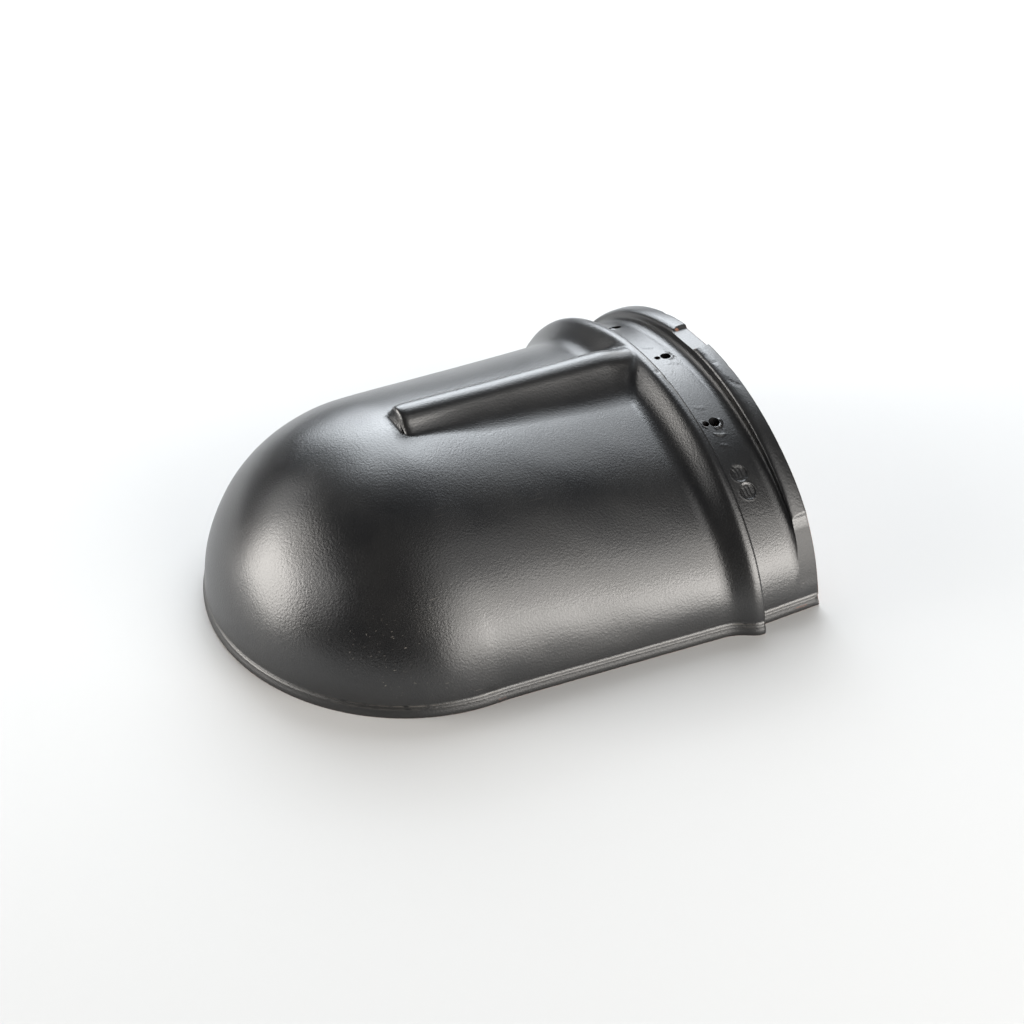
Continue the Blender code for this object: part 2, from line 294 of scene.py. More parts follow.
def with_rib(points):
    """Smooth maximum of the surface and the rib, over a blend that grows along the rib and
    shrinks again in the collar. In front of the rib's end a small fillet dies away."""
    x, y, z = points[..., 0], points[..., 1], points[..., 2]
    rib = rib_height(x, y)
    near_top = 1.0 - smooth((np.abs(y) - 6.0) / 8.0)
    blend = 4.0 + 3.0 * np.clip(x / 40.0, 0.0, 1.0) + 5.0 * np.clip(x / 120.0, 0.0, 1.0)
    blend = blend * (1.0 - (0.25 + 0.61 * near_top) * smooth((x - RIB_REAR) / 15.0))
    h = np.clip(blend - np.abs(rib - z), 0.0, None) / blend
    joined = np.maximum(rib, z) + h * h * blend * 0.25
    start = RIB_FRONT - 0.05
    upper = z > 60.0
    on = (x > start) & (x < CREST_START + 0.1) & (np.abs(y) < 34.0) & upper
    before = (x <= start) & (x > -12.0) & upper
    fillet = 1.3 * np.exp(-np.clip(RIB_FRONT - 0.45 - x, 0.0, 30.0) / 1.2)
    fillet = fillet * smooth((11.5 - np.abs(y)) / 4.0)
    out = points.copy()
    out[..., 2] = np.where(on, joined, np.where(before, z + fillet, z))
    return out


def share_out(points, first, last):
    """Moves the crown's points along each row to equal steps of the row's own length."""
    out = points.copy()
    for row in range(len(points)):
        x = points[row, 0, 0]
        y0, y1 = points[row, first, 1], points[row, last, 1]
        fine_y = np.linspace(y0, y1, 900)
        fine_z = arch_height(fine_y, *row_size(points[row]))
        fine = with_rib(np.stack([np.full_like(fine_y, x), fine_y, fine_z], axis=-1))
        step = np.hypot(np.diff(fine[:, 1]), np.diff(fine[:, 2]))
        run = np.append(0.0, np.cumsum(step))
        at = np.linspace(0.0, run[-1], last - first + 1)
        out[row, first:last + 1, 1] = np.interp(at, run, fine[:, 1])
        out[row, first:last + 1, 2] = np.interp(at, run, fine[:, 2])
    return out


def arch_height(y, width, height):
    """Height of the arch over y, by turning y into theta in three steps."""
    share = np.abs(y) / width
    theta = np.arcsin(np.clip(share, 0.0, 1.0))
    for _ in range(3):
        theta = np.arcsin(np.clip(share / ease(theta), 0.0, 1.0))
    return height * np.cos(theta) * ease(theta)


def row_size(row):
    """Half width and height that a row was drawn with, read off its crown and its seam."""
    middle = np.argmax(row[:, 2])
    height = row[middle, 2]
    foot = len(FOOT_LEVELS)
    theta = np.arccos(np.clip(row[foot, 2] / height, 0.0, 1.0))
    return abs(row[foot, 1]) / (np.sin(theta) * ease(theta)), height


# %% [markdown]
# ## Barrel and dome
# The barrel's rows lie close together where the form turns quickly, at the rib's front and
# in the collar, and wide apart where it is plain. On the crown the points are shared out
# evenly over the rib's own section, so that its flanks get as many as its top.

# %% Barrel
CROWN = 26.0
near_half = spaced([0.0, CROWN, ARC], [0.75, 1.6])
far_half = spaced([0.0, CROWN, ARC], [0.75, 2.0])
barrel_lines = arch_lines(near_half, far_half)
crown_from = len(FOOT_LEVELS) + int(np.argmin(np.abs(barrel_lines + CROWN / ARC)))
crown_to = len(FOOT_LEVELS) + int(np.argmin(np.abs(barrel_lines - CROWN / ARC)))

barrel_x = np.concatenate([
    spaced([0.6, 2.45], [0.37]),
    spaced([RIB_FRONT, 4.6, 10.0, 126.0, CREST_START, CREST_END], [0.28, 0.9, 2.1, 0.72, 0.5]),
])
turn = np.radians(np.linspace(12.0, 90.0, 7))
fall = np.concatenate([np.zeros(len(barrel_x)), COLLAR_ROUND * (1.0 - np.cos(turn))])
barrel_x = np.concatenate([barrel_x, CREST_END + COLLAR_ROUND * np.sin(turn)])
rise = smooth(np.clip((barrel_x - FLARE_START) / (CREST_START - FLARE_START), 0.0, 1.0) ** 1.5)
wide, tall = barrel_size(barrel_x)
barrel = arch_rows(barrel_x, wide + COLLAR_SIDE_RISE * rise - fall,
                   tall + COLLAR_CROWN_RISE * rise - fall, barrel_lines)
barrel = share_out(barrel, crown_from, crown_to)
print("barrel grid:", barrel.shape)

# %% [markdown]
# The dome is the barrel's front arch swept half round its crown, with its own, finer
# columns. The same rule draws the plain inner dome, which has no foot.


# %% Dome
def dome_grid(length, width, height, lines, levels, columns, foot):
    """Half dome: reach is the eased sine of theta, x is minus the length times reach times
    sin phi, y the width times reach times cos phi, z the height times the eased cosine."""
    lowest = levels[0] if foot is None else FOOT_TOP
    theta = (lines * np.arccos(lowest / height))[None, :]
    phi = np.linspace(0.0, np.pi, columns)[:, None]
    reach = np.sin(theta) * ease(theta)
    z = height * np.cos(theta) * ease(theta) + 0.0 * phi
    side = np.zeros(levels.shape) if foot is None else foot(levels)
    level_theta = np.arccos(levels / height)
    level_reach = (np.sin(level_theta) * ease(level_theta))[None, :]
    out_x = np.concatenate([length * reach, length * level_reach + side], axis=1)
    out_y = np.concatenate([width * reach, width * level_reach + side], axis=1)
    x, y = -out_x * np.sin(phi), out_y * np.cos(phi)
    z = np.concatenate([z, np.broadcast_to(levels[None, :], (columns, len(levels)))], axis=1)
    return np.stack([x, y, z], axis=-1)


dome_half = spaced([1.5, 30.0, ARC], [1.5, 1.6]) / ARC
dome = dome_grid(DOME_LENGTH, WIDTH_FRONT, HEIGHT_FRONT, dome_half, FOOT_LEVELS, 165, foot_profile)
dome = with_rib(dome)
pole = with_rib(np.array([[0.0, 0.0, HEIGHT_FRONT]]))
print("dome grid:", dome.shape)

# %% [markdown]
# ## Neck and lip
# The neck is a plain lower arch. At the open end a cove climbs to a rolled lip that stops
# on both sides above the foot, where the clay was cut to a flat facet. The mould maker's
# planed seat flattens the lip at the crown.

# %% Neck and lip
COVE_SHARE, SHOULDER = 0.84, 5.0
CUT_SHARE, CUT_STEP, CUT_RUN = 0.98, 1.4, 18.0


def lip_share(x):
    """Share of the lip's rise over x: a cove that ends upright, a short wall, a rounded
    shoulder, an almost flat crest and a small round at the rear edge."""
    cove_end = LIP_START + LIP_COVE
    cove = COVE_SHARE * rounding((cove_end - x) / LIP_COVE)
    shoulder = COVE_SHARE + 0.42 * (1.0 - rounding((x - cove_end) / SHOULDER))
    crown = 0.015 * np.sin(np.pi * np.clip((x - 184.5) / 5.5, 0.0, 1.0))
    edge = 0.10 * rounding((NECK_END - x) / LIP_EDGE)
    return np.where(x <= LIP_START, 0.0, np.where(x < cove_end, cove, shoulder + crown - edge))


def lip_cut(theta):
    """Most of the rise that is left beyond the lip's end: a flat cut that runs out to nothing."""
    past = np.degrees(np.abs(theta)) - LIP_END
    step = 1.27 + (CUT_SHARE - 1.27) * smooth(past / CUT_STEP)
    ramp = CUT_SHARE * np.clip(1.0 - (past - CUT_STEP) / CUT_RUN, 0.0, 1.0)
    return np.where(past < 0.0, 2.0, np.where(past < CUT_STEP, step, ramp))


near_neck = spaced([0.0, 30.0, 48.0, 66.0, 82.0, 110.0, 122.0, ARC],
                   [0.62, 1.1, 0.62, 1.1, 0.56, 0.5, 1.9])
far_neck = spaced([0.0, 30.0, 48.0, 66.0, 112.0, 120.0, ARC],
                  [0.62, 1.4, 0.7, 2.2, 0.7, 2.3])
neck_lines = arch_lines(near_neck, far_neck)
root = np.linspace(0.0, 1.0, 6)
root_x = BARREL_LENGTH + NECK_ROOT * root
plain_x = spaced([BARREL_LENGTH + 1.8, LIP_START - 0.4], [0.5])
cove_x = LIP_START + LIP_COVE * np.sin(np.linspace(0.0, 0.5 * np.pi, 16))[:-1]
back_x = LIP_START + LIP_COVE + SHOULDER * (1.0 - np.cos(np.linspace(0.0, 0.5 * np.pi, 14)))[:-1]
crest_x = spaced([185.3, 189.0], [0.46])
edge_x = NECK_END - LIP_EDGE * np.array([0.75, 0.5, 0.3, 0.12, 0.03, 0.0])
neck_x = np.concatenate([root_x, plain_x, cove_x, back_x, crest_x, edge_x])
added = np.zeros(len(neck_x))
added[:len(root)] = NECK_ROOT * rounding(root)
neck = arch_rows(neck_x, NECK_WIDTH + added, NECK_HEIGHT + added, neck_lines)
across = np.arctan2(-neck[..., 1] / NECK_WIDTH, neck[..., 2] / NECK_HEIGHT)
share = np.minimum(lip_share(neck_x)[:, None], lip_cut(across))
neck[..., 1] -= (LIP_WIDTH - NECK_WIDTH + 0.3) * share * np.sin(across)
neck[..., 2] += (LIP_HEIGHT - NECK_HEIGHT) * share * np.cos(across) * smooth(neck[..., 2] / 12.0)
parting = 0.168 * hump((neck[..., 0] - 180.15) / 0.16) * smooth((np.radians(57.0) - across) / 0.06)
neck[..., 0] -= np.where(across > -1.0, parting, 0.0)
planed = (neck[..., 0] > LIP_START + 2.0) & (np.abs(neck[..., 1]) < SEAT_HALF + 3.0)
edge = SEAT_LEVEL + 1.1 * np.clip(np.abs(neck[..., 1]) - SEAT_HALF, 0.0, None) ** 1.3
neck[..., 2] = np.where(planed, np.minimum(neck[..., 2], edge), neck[..., 2])
print("neck grid:", neck.shape)

# %% [markdown]
# ## Inside
# Nobody dresses the inside of such a tile: it is a plain hollow, a wall's thickness in from
# the outer form, open below and at the lipped end.

# %% Inside
BARREL_WALL, NECK_WALL, NECK_CROWN_WALL = 13.0, 12.0, 15.0
INSIDE_LEVELS = np.array([6.0, 3.0, 1.0, 0.0])


def hollow_size(x):
    """Inside half width and height, straight lines from the dome to the open end."""
    t = x / NECK_END
    wide_in = (WIDTH_FRONT - BARREL_WALL) * (1 - t) + (NECK_WIDTH - NECK_WALL) * t
    tall_in = (HEIGHT_FRONT - BARREL_WALL) * (1 - t) + (NECK_HEIGHT - NECK_CROWN_WALL) * t
    return wide_in, tall_in


def inside_rows(x, lines):
    """Rows of the hollow's arch, with plain upright feet."""
    x = np.asarray(x, float)[:, None]
    width, height = hollow_size(x)
    theta = lines[None, :] * np.arccos(9.0 / height)
    y = -width * np.sin(theta) * ease(theta)
    z = height * np.cos(theta) * ease(theta)
    level = INSIDE_LEVELS[None, :] + 0.0 * x
    foot_theta = np.arccos(level / height)
    foot_y = width * np.sin(foot_theta) * ease(foot_theta)
    rows_y = np.concatenate([foot_y[:, ::-1], y, -foot_y], axis=1)
    rows_z = np.concatenate([level[:, ::-1], z, level], axis=1)
    return np.stack([np.broadcast_to(x, rows_y.shape), rows_y, rows_z], axis=-1)


inside_lines = np.linspace(-1.0, 1.0, 71)
inside = inside_rows(np.concatenate([[1.0], np.linspace(6.0, NECK_END, 30)]), inside_lines)
wide_in, tall_in = hollow_size(0.0)
inner_dome = dome_grid(DOME_LENGTH - BARREL_WALL, wide_in, tall_in, np.linspace(0.04, 1.0, 26),
                       INSIDE_LEVELS, 49, None)
inner_pole = np.array([[0.0, 0.0, tall_in]])
print("inside grid:", inside.shape, inner_dome.shape)

# %% [markdown]
# ## One closed shell
# Each part has its own spacing, so the parts are joined by strips of triangles that walk
# along both edges at once. The last strip closes the underside, from the outer foot to the
# inner one, and the mesh is one watertight body.

# %% Joining the parts
tris = []


def numbered(*grids):
    """All points of some grids as one list, and each grid's point numbers in its own shape."""
    numbers, count = [], 0
    for grid in grids:
        size = grid.size // 3
        numbers.append(np.arange(count, count + size).reshape(grid.shape[:-1]))
        count += size
    return np.concatenate([grid.reshape(-1, 3) for grid in grids]), numbers


def add_grid(number, flip=False):
    """Two triangles for each cell of a grid of numbers."""
    a, b = number[:-1, :-1].ravel(), number[1:, :-1].ravel()
    c, d = number[1:, 1:].ravel(), number[:-1, 1:].ravel()
    both = np.concatenate([np.stack([a, b, c], 1), np.stack([a, c, d], 1)])
    tris.append(both[:, ::-1] if flip else both)


def run_share(points):
    """Share of the way along a line of points, 0 at its start and 1 at its end."""
    step = np.linalg.norm(np.diff(points, axis=0), axis=1)
    run = np.append(0.0, np.cumsum(step))
    return run / run[-1]


def add_strip(a, b, flip=False):
    """Triangles between two lines of points: each step of one line takes the point of the
    other whose share of the way lies nearest to the step's middle."""
    a_share, b_share = run_share(points[a]), run_share(points[b])
    a_mid = 0.5 * (a_share[1:] + a_share[:-1])
    b_mid = 0.5 * (b_share[1:] + b_share[:-1])
    on_b = b[np.searchsorted(b_mid, a_mid)]
    on_a = a[np.searchsorted(a_mid, b_mid, side="right")]
    first = np.stack([a[:-1], on_b, a[1:]], 1)
    second = np.stack([b[:-1], b[1:], on_a], 1)
    both = np.concatenate([first, second])
    tris.append(both[:, ::-1] if flip else both)


points, numbers = numbered(barrel, dome, pole, neck, inside, inner_dome, inner_pole)
barrel_no, dome_no, pole_no, neck_no, inside_no, inner_dome_no, inner_pole_no = numbers

add_grid(barrel_no)
add_grid(neck_no)
add_grid(dome_no)
add_grid(inside_no, flip=True)
add_grid(inner_dome_no, flip=True)
tris.append(np.stack([dome_no[:-1, 0], dome_no[1:, 0], np.full(len(dome_no) - 1, pole_no[0])], 1))
tris.append(np.stack([inner_dome_no[1:, 0], inner_dome_no[:-1, 0],
                      np.full(len(inner_dome_no) - 1, inner_pole_no[0])], 1))

add_strip(np.concatenate([dome_no[0, ::-1], pole_no, dome_no[-1]]), barrel_no[0])
add_strip(barrel_no[-1], neck_no[0])
inner_edge = np.concatenate([inner_dome_no[0, ::-1], inner_pole_no, inner_dome_no[-1]])
add_strip(inner_edge, inside_no[0], flip=True)
add_strip(neck_no[-1], inside_no[-1])
outer_foot = np.concatenate([neck_no[::-1, 0], barrel_no[::-1, 0], dome_no[:, -1],
                             barrel_no[:, -1], neck_no[:, -1]])
inner_foot = np.concatenate([inside_no[::-1, 0], inner_dome_no[:, -1], inside_no[:, -1]])
add_strip(outer_foot, inner_foot)
faces = np.concatenate(tris)[:, ::-1]
print("shell:", len(points), "points,", len(faces), "triangles")

# %% [markdown]
# The list of triangles is turned round so that every face looks outwards. Two sums prove it:
# each edge is shared by exactly two faces, and the volume comes out above zero.


# %% Mesh
def shell_mesh(name, points, faces):
    """Mesh of triangles, in metres in the frame."""
    mesh = bpy.data.meshes.new(name)
    placed = (points + TO_FRAME) * MM
    mesh.vertices.add(len(placed))
    mesh.vertices.foreach_set("co", placed.astype(np.float32).ravel())
    mesh.loops.add(3 * len(faces))
    mesh.loops.foreach_set("vertex_index", faces.astype(np.int32).ravel())
    mesh.polygons.add(len(faces))
    mesh.polygons.foreach_set("loop_start", np.arange(0, 3 * len(faces), 3, dtype=np.int32))
    mesh.update(calc_edges=True)
    mesh.validate()
    return mesh


tile_mesh = shell_mesh("ridge_end_cap", points, faces)
tile = bpy.data.objects.new("ridge_end_cap", tile_mesh)
bpy.context.scene.collection.objects.link(tile)
edge_use = np.sort(np.concatenate([faces[:, [0, 1]], faces[:, [1, 2]], faces[:, [2, 0]]]), axis=1)
_, used = np.unique(edge_use, axis=0, return_counts=True)
corner = points[faces]
volume = np.einsum("ij,ij->i", corner[:, 0], np.cross(corner[:, 1], corner[:, 2])).sum() / 6.0
print("edges not shared by two faces:", int((used != 2).sum()))
print("volume in litres:", round(volume * 1e-6, 3))

# %% [markdown]
# ## From mesh to millimetres and back
# The marks are added to the finished mesh, point by point and along the surface's own
# direction. So the points are read back in millimetres, moved, and written again.


# %% Reading and moving the points
def read_points(mesh):
    """Points in millimetres from the dome's centre, and the outward direction at each."""
    co = np.empty(3 * len(mesh.vertices), dtype=np.float32)
    mesh.vertices.foreach_get("co", co)
    way = np.empty(3 * len(mesh.vertices), dtype=np.float32)
    mesh.vertex_normals.foreach_get("vector", way)
    here = co.reshape(-1, 3).astype(float) / MM - TO_FRAME
    return here, way.reshape(-1, 3).astype(float)


def write_points(mesh, here):
    """Puts points in millimetres from the dome's centre back into the mesh."""
    placed = (here + TO_FRAME) * MM
    mesh.vertices.foreach_set("co", placed.astype(np.float32).ravel())
    mesh.update()


def near_point(here, point, reach):
    """1 at a point, less round it: a bell of the distance, scaled along each axis by its reach."""
    return hump(np.sqrt((((here - np.array(point)) / np.array(reach)) ** 2).sum(axis=1)))


# %% [markdown]
# ## Marks of making
# Fired clay is never quite true. The arch sags and swells a little, the nail punch raised a
# burr beside each hole and left score marks near it, and two small round plugs in the mould
# left sunken discs on the neck, each with three plain grooves. Each mark is a small height
# worked out in the plane that touches the neck at its middle, and added along the surface.

# %% Marks on the surface
NAILS = [(165.4, 26.5), (169.2, 0.0), (169.4, -25.4)]
DISCS = [(163.2, 42.7), (163.5, 48.1)]
DISC_RADIUS, DISC_DEPTH = 4.5, 0.5
STROKES = [  # x, degrees, turned, length, width, height, bend
    (164.4, 30.7, 18.0, 7.4, 1.0, 0.55, -0.9),
    (163.3, 33.9, 20.0, 6.4, 0.8, 0.3, 0.0),
    (163.4, 21.2, 8.0, 6.6, 0.9, 0.25, -0.8),
    (164.9, -5.3, 30.0, 8.0, 1.0, 0.25, -1.0),
    (168.6, 3.7, 25.0, 9.0, 0.9, 0.2, 1.0),
]
BURRS = [  # x, degrees, radius, width, height, middle of its turn, half its turn
    (165.4, 26.5, 3.95, 1.1, 0.75, 48.0, 62.0),
    (160.4, 26.4, 2.35, 0.8, 0.3, 180.0, 80.0),
    (169.2, 0.0, 3.9, 1.1, 0.5, 20.0, 75.0),
    (169.4, -25.4, 3.9, 1.0, 0.5, 180.0, 90.0),
]
NEAR_SURFACE = 4.0


def neck_frame(x, degrees):
    """Middle of a mark on the neck, and the direction that runs down the side from it."""
    theta = np.radians(degrees)
    wide, tall = NECK_WIDTH * ease(theta), NECK_HEIGHT * ease(theta)
    middle = np.array([x, -wide * np.sin(theta), tall * np.cos(theta)])
    down = np.array([0.0, -NECK_WIDTH * np.cos(theta), -NECK_HEIGHT * np.sin(theta)])
    return middle, down / np.linalg.norm(down)


def seen_from(here, x, degrees, turned=0.0):
    """Offsets of all points from a mark's middle, along and down, and which lie near its plane."""
    middle, down = neck_frame(x, degrees)
    rel = here - middle
    a, b = rel[:, 0], rel @ down
    off = np.sqrt(np.clip((rel ** 2).sum(axis=1) - a * a - b * b, 0.0, None))
    c, s = np.cos(np.radians(turned)), np.sin(np.radians(turned))
    return c * a + s * b, -s * a + c * b, off < NEAR_SURFACE


def stroke(here, x, degrees, turned, length, width, height, bend):
    """Raised or sunken stroke: a bell across, flat along, with the middle bent by a parabola."""
    a, b, near = seen_from(here, x, degrees, turned)
    b = b - bend * (a / (0.5 * length)) ** 2
    along = smooth((0.5 * length - np.abs(a)) / (0.3 * length) + 0.15)
    return height * along * hump(b / (0.5 * width)) * near


def ring(here, x, degrees, radius, width, height, middle_turn, spread):
    """Part of a raised ring round a mark's middle."""
    a, b, near = seen_from(here, x, degrees)
    turn = np.abs((np.degrees(np.arctan2(b, a)) - middle_turn + 180.0) % 360.0 - 180.0)
    part = smooth((spread - turn) / 25.0 + 0.5)
    return height * part * hump((np.hypot(a, b) - radius) / (0.5 * width)) * near


def disc(here, x, degrees):
    """Sunken disc with a crisp wall and a fine raised rim."""
    a, b, near = seen_from(here, x, degrees)
    past = np.hypot(a, b) - DISC_RADIUS
    return (-DISC_DEPTH * smooth(0.5 - past / 0.7) + 0.16 * hump((past - 0.5) / 0.4)) * near


def groove(here, x, degrees, aside):
    """Plain straight groove down the side, set aside from a disc's middle along the ridge."""
    a, b, near = seen_from(here, x, degrees)
    along = smooth((2.8 - np.abs(b)) / 0.9)
    return -0.3 * along * hump((a - aside) / 0.45) * near


def ripple(here):
    """Slow unevenness of the pressed clay, from a few sines that cross each other."""
    x, y, z = here.T
    return (0.16 * np.sin(x / 17.0 + 1.4 * np.sin(y / 26.0 + 0.5))
            + 0.12 * np.sin(y / 13.0 + x / 31.0 + 1.1) * np.sin(z / 19.0 + 0.7)
            + 0.05 * np.sin(x / 6.1 + z / 7.7) * np.sin(y / 8.3 + 0.4 * np.sin(x / 9.0)))


here, way = read_points(tile_mesh)
x, y, z = here.T
outer = (np.abs(y) / (NECK_WIDTH - 6.0)) ** 2 + (z / (NECK_HEIGHT - 8.0)) ** 2 > 1.0
neck_zone = outer & (x > 152.2) & (x < 173.8)
calmer = 1.0 - 0.5 * (x > BARREL_LENGTH)
height = np.where(z > 9.0, ripple(here) * smooth((z - 9.0) / 12.0) * calmer, 0.0)
for dx, ddeg in DISCS:
    height += neck_zone * disc(here, dx, ddeg)
    for aside in (-2.1, 0.0, 2.1):
        height += neck_zone * groove(here, dx, ddeg, aside)
for mark in STROKES:
    height += neck_zone * stroke(here, *mark)
for mark in BURRS:
    height += neck_zone * ring(here, *mark)
centre_mark = hump((x - 173.2) / 0.9) * hump((y - 0.3) / 1.2) * (np.abs(x - 173.0) < 0.9)
height -= 0.7 * neck_zone * centre_mark

# %% [markdown]
# ## Chips
# A heavy brittle tile gets knocked where it sticks out: on the collar's crest, on the rolled
# lip and at the corners of its foot. Each chip is a soft dent at a point, with its own reach
# along the three axes. The lip's crest is a little rough as well.

# %% Chips and nicks
CHIPS = [  # middle, reach, depth
    ((148.6, -25.3, 105.0), (0.7, 1.4, 2.5), 0.5), ((150.9, -31.8, 102.6), (0.7, 1.2, 2.5), 0.6),
    ((149.0, -37.2, 100.5), (0.7, 1.0, 2.5), 0.3), ((145.6, -131.6, 30.9), (0.6, 0.9, 0.8), 0.7),
    ((186.9, -47.7, 97.0), (1.1, 1.2, 2.5), 0.35), ((184.6, -45.2, 98.6), (1.1, 1.3, 2.5), 0.3),
    ((183.6, -42.4, 99.4), (1.0, 1.1, 2.5), 0.2), ((182.2, -21.0, 102.9), (0.9, 1.6, 2.5), 0.15),
    ((184.0, -28.3, 102.0), (0.9, 1.4, 2.5), 0.2), ((189.6, -34.0, 100.6), (0.7, 1.8, 2.5), 0.25),
    ((189.7, 33.0, 100.9), (0.8, 2.6, 2.5), 0.4),
    ((-57.0, -68.0, 58.0), (1.6, 2.2, 1.4), 0.35), ((-4.0, -117.6, 8.0), (3.0, 1.5, 2.0), 0.3),
    ((189.6, -131.5, 5.0), (1.4, 1.6, 2.2), 0.7), ((190.0, 131.0, 4.0), (1.6, 1.6, 2.2), 0.6),
]
TALLEST = 112.6

for point, reach, depth in CHIPS:
    height -= depth * near_point(here, point, reach) * (outer | (x < BARREL_LENGTH))
rough_crest = outer & (x > 180.6) & (x < 189.8) & (np.abs(y) < 60.0)
wave_x, wave_y = x * 3.1 + 1.3 * np.sin(y * 1.7), y * 2.3 + 1.1 * np.sin(x * 2.2)
height += rough_crest * 0.035 * np.sin(wave_x) * np.sin(wave_y)
moved = here + way * height[:, None]
moved[:, 0] = np.minimum(moved[:, 0], NECK_END)
moved[:, 2] = np.clip(moved[:, 2], 0.0, TALLEST)
write_points(tile_mesh, moved)
print("marks move the surface by", round(height.min(), 2), "to", round(height.max(), 2), "mm")

# %% [markdown]
# ## Nail holes
# The holes go straight down through the neck, so they open as ovals on its slopes. Beside
# each, a thinner starter goes in a few millimetres and leaves a thin web. They are real
# openings, so they are cut out of the shell with round bars.

# %% Nail holes
HOLE_RADIUS, HOLE_DEPTH = 3.05, 30.0
STARTER_RADIUS, STARTER_DEPTH = 1.8, 5.0
STARTER_AHEAD, STARTER_ASIDE = 5.1, 0.4
BAR_ABOVE = 9.0
SIDES = 36


def bars(rows):
    """Closed round bars from (x, y, mouth, depth, radius) rows, as one mesh in millimetres."""
    turn = np.linspace(0.0, 2.0 * np.pi, SIDES, endpoint=False)
    i = np.arange(SIDES)
    j = (i + 1) % SIDES
    low_middle, high_middle = np.full(SIDES, 2 * SIDES), np.full(SIDES, 2 * SIDES + 1)
    all_points, all_faces = [], []
    for k, (bx, by, mouth, depth, radius) in enumerate(rows):
        levels = (mouth - depth, mouth + BAR_ABOVE)
        bar = [(bx + radius * np.cos(a), by + radius * np.sin(a), level)
               for level in levels for a in turn]
        bar += [(bx, by, level) for level in levels]
        all_points += bar
        for cells in [(i, j, j + SIDES), (i, j + SIDES, i + SIDES),
                      (j, i, low_middle), (i + SIDES, j + SIDES, high_middle)]:
            all_faces.append(np.stack(cells, 1) + k * len(bar))
    return np.array(all_points), np.concatenate(all_faces)


tubes = []
for nx, degrees in NAILS:
    _, ny, mouth = neck_frame(nx, degrees)[0]
    tubes.append((nx, ny, mouth, HOLE_DEPTH, HOLE_RADIUS))
    tubes.append((nx - STARTER_AHEAD, ny + STARTER_ASIDE, mouth, STARTER_DEPTH, STARTER_RADIUS))
bar_points, bar_faces = bars(tubes)
cutter = bpy.data.objects.new("nail_bars", shell_mesh("nail_bars", bar_points, bar_faces))
bpy.context.scene.collection.objects.link(cutter)
cut = tile.modifiers.new("nail_holes", "BOOLEAN")
cut.operation = "DIFFERENCE"
cut.solver = "EXACT"
cut.object = cutter
bpy.context.view_layer.update()
cut_mesh = bpy.data.meshes.new_from_object(tile.evaluated_get(bpy.context.evaluated_depsgraph_get()))
tile.modifiers.clear()
tile.data = cut_mesh
bpy.data.objects.remove(cutter, do_unlink=True)
bpy.data.meshes.remove(tile_mesh)
tile_mesh = cut_mesh
tile_mesh.name = "ridge_end_cap"
tile_mesh.polygons.foreach_set("use_smooth", np.ones(len(tile_mesh.polygons), dtype=bool))
tile_mesh.set_sharp_from_angle(angle=np.radians(50.0))
print("after the holes:", len(tile_mesh.vertices), "points,", len(tile_mesh.polygons), "faces")

# %% [markdown]
# ## Where the clay shows
# The black skin was sprayed on before firing, so it is thin or missing where the spray did
# not reach and where edges have been knocked: the underside, the hollow, the rear end, inside
# the nail holes, at the ends of the planed seat and along the foot. These places are worked
# out from the shape and kept on the points as three masks: bare clay, worn light edges and
# painted shade, a darker black where shade falls in the foot's groove and on the band below
# it, along the rear edges of the collar and the lip, and on the lip's end facets.

# %% Masks
RUBBED = [  # middle, reach, how bare
    ((183.6, 11.9, 102.2), (1.6, 1.3, 2.0), 0.95), ((182.6, -11.2, 102.2), (1.5, 1.2, 2.0), 0.85),
    ((-3.0, -117.8, 8.5), (8.0, 3.0, 5.0), 0.36), ((2.0, -119.0, 2.5), (6.0, 2.0, 2.0), 0.45),
    ((189.8, -131.6, 6.0), (1.0, 2.0, 2.0), 0.9), ((179.0, -132.0, 3.2), (9.0, 2.0, 1.3), 0.6),
    ((165.0, -132.0, 3.0), (6.0, 2.0, 1.0), 0.45), ((190.0, -36.0, 100.5), (0.9, 7.0, 3.0), 0.6),
    ((190.0, -12.0, 102.0), (0.8, 5.0, 2.0), 0.6), ((134.2, -135.5, 11.3), (3.5, 3.0, 2.2), 0.45),
    ((190.0, 60.0, 92.0), (0.9, 9.0, 4.0), 0.5), ((-100.0, 20.0, 3.0), (5.0, 12.0, 2.0), 0.4),
]
here, way = read_points(tile_mesh)
x, y, z = here.T
wide_in, tall_in = hollow_size(np.clip(x, 0.0, NECK_END))
front = np.clip(-x, 0.0, None) / (DOME_LENGTH - BARREL_WALL)
inside_share = np.sqrt((np.abs(y) / wide_in) ** 2 + (z / tall_in) ** 2 + front ** 2)
inner = smooth((1.035 - inside_share) / 0.02) * (way[:, 2] < 0.75)
under = smooth((0.4 - z) / 0.3)
back_face = smooth((x - 189.8) / 0.15)
bare = np.maximum.reduce([inner, under, 0.8 * back_face])
for tx, ty, mouth, _, radius in tubes:
    deep = smooth((mouth - 1.2 - z) / 1.5) * (z > 30.0)
    bare = np.maximum(bare, 0.8 * deep * (np.hypot(x - tx, y - ty) < radius + 0.25))
for point, reach, strength in RUBBED:
    bare = np.maximum(bare, strength * near_point(here, point, reach))

